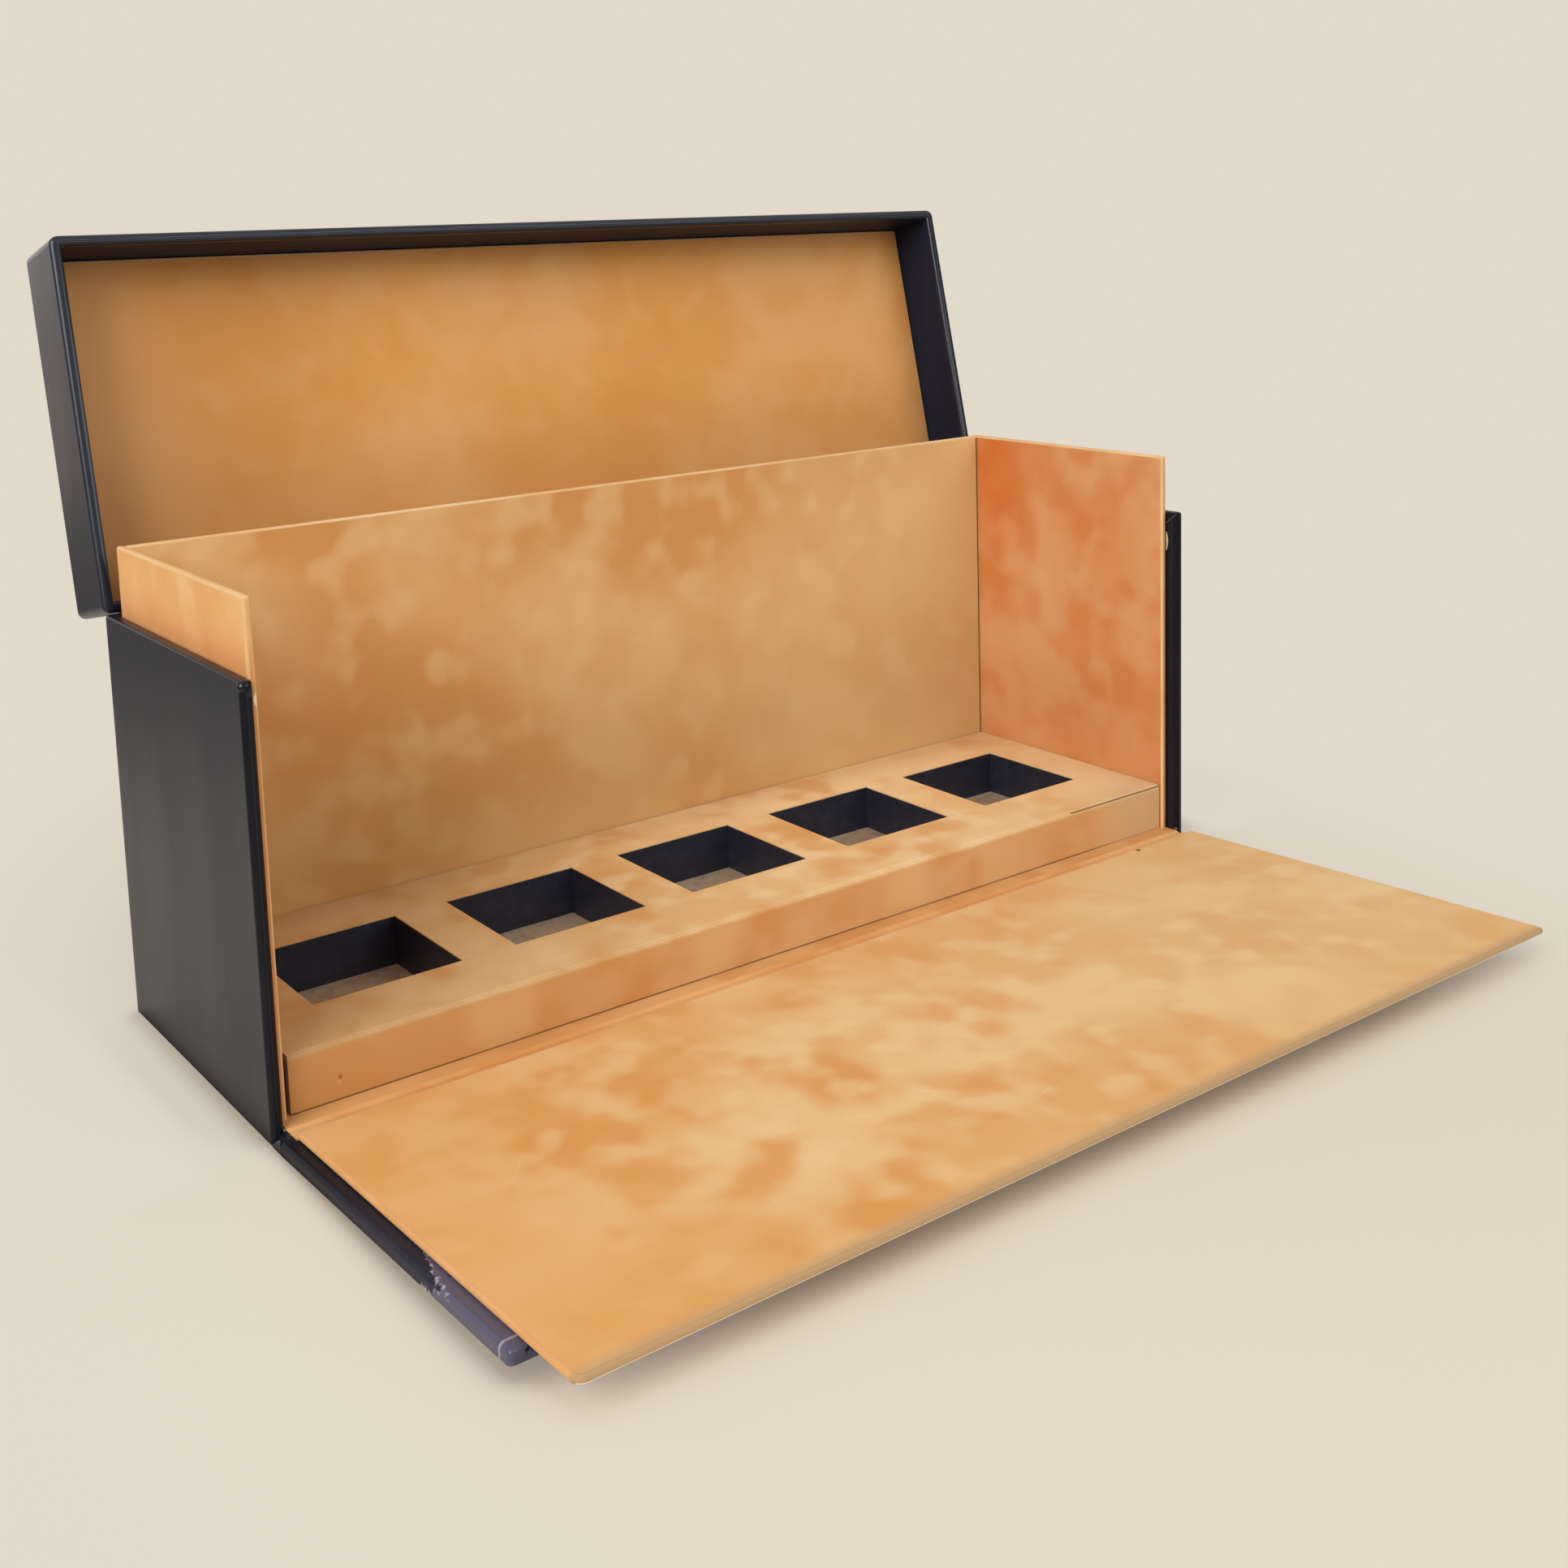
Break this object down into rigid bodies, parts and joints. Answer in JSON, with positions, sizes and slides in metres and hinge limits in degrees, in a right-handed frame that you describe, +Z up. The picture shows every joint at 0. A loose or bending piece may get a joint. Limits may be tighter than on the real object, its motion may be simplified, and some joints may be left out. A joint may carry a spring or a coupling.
{
  "type": "perfume box",
  "caption": "Rigid neck box for perfume bottles, with a hinged lid tray, a drop-front flap and a low platform of square pockets, dark leatherette outside and tan suede inside",
  "frame": {"origin": "middle of the underside of the case, without the open flap", "axes": "+X along the box to the right as seen from the open front, -Y out of the open front over the flap, +Z up"},
  "size_m": [0.24, 0.21, 0.16],
  "materials": {
    "greyboard": "raw grey board, hidden under the papers",
    "leatherette": "near-black navy leatherette paper, satin with a fine grain",
    "suede_paper": "golden tan suede paper, matt and softly mottled",
    "sleeve_card": "dark navy card, matt",
    "floor_card": "greige card, matt"
  },
  "bodies": {
    "root": {"base_board": "greyboard", "back_board": "greyboard", "left_board": "greyboard", "right_board": "greyboard", "lid_hinge_strip": "leatherette", "case_wrap": "leatherette", "base_sheet": "leatherette", "floor_lining": "suede_paper", "neck_back_board": "greyboard", "neck_back_cover": "suede_paper", "neck_left_board": "greyboard", "neck_left_cover": "suede_paper", "neck_right_board": "greyboard", "neck_right_cover": "suede_paper", "pocket_floor": "floor_card", "platform_board": "greyboard", "platform_cover": "suede_paper", "pocket_sleeve_1": "sleeve_card", "pocket_sleeve_2": "sleeve_card", "pocket_sleeve_3": "sleeve_card", "pocket_sleeve_4": "sleeve_card", "pocket_sleeve_5": "sleeve_card", "flap_hinge_lining": "suede_paper"},
    "lid": {"lid_top_board": "greyboard", "lid_front_board": "greyboard", "lid_back_board": "greyboard", "lid_left_board": "greyboard", "lid_right_board": "greyboard", "lid_wrap": "leatherette", "lid_lining_board": "greyboard", "lid_lining_cover": "suede_paper"},
    "flap": {"flap_board": "greyboard", "flap_wrap": "leatherette", "neck_front_board": "greyboard", "neck_front_cover": "suede_paper"}
  },
  "joints": [
    {"name": "lid_hinge", "type": "hinge", "parent": "root", "child": "lid", "pos_m": [0, 0.037, 0.084], "axis": [-1, 0, 0], "range_deg": [-102.5, 72.5], "deforming": ["lid_hinge_strip"]},
    {"name": "flap_hinge", "type": "hinge", "parent": "root", "child": "flap", "pos_m": [0, -0.0394, 0.0002], "axis": [1, 0, 0], "range_deg": [-88, 2], "deforming": ["flap_hinge_lining"]}
  ]
}
